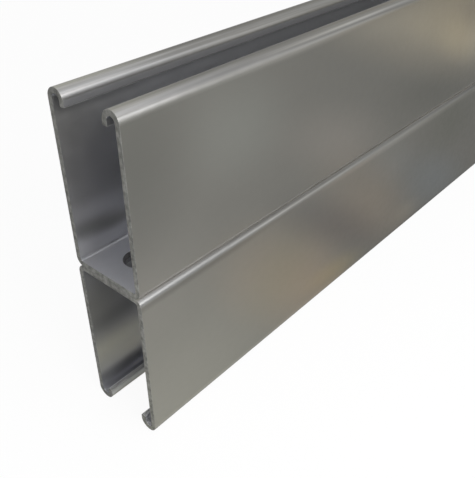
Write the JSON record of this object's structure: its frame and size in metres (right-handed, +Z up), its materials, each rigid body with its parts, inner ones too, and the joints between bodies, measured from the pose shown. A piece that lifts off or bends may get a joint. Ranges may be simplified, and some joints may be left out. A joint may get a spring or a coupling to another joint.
{
  "type": "back-to-back strut channel",
  "caption": "Deep slotted steel framing channel: a pair of lipped channels welded web to web, with a nut track on top and underneath.",
  "frame": {"origin": "middle of the underside, level with the crests of the lower channel's lips", "axes": "+X along the strut, +Y across it, +Z up from the lower mouth to the upper one"},
  "size_m": [2, 0.0412, 0.1652],
  "materials": {
    "channel_steel": "satin pre-galvanised strip, bare cut ends"
  },
  "bodies": {
    "root": {"upper_channel": "channel_steel", "lower_channel": "channel_steel"}
  },
  "joints": []
}
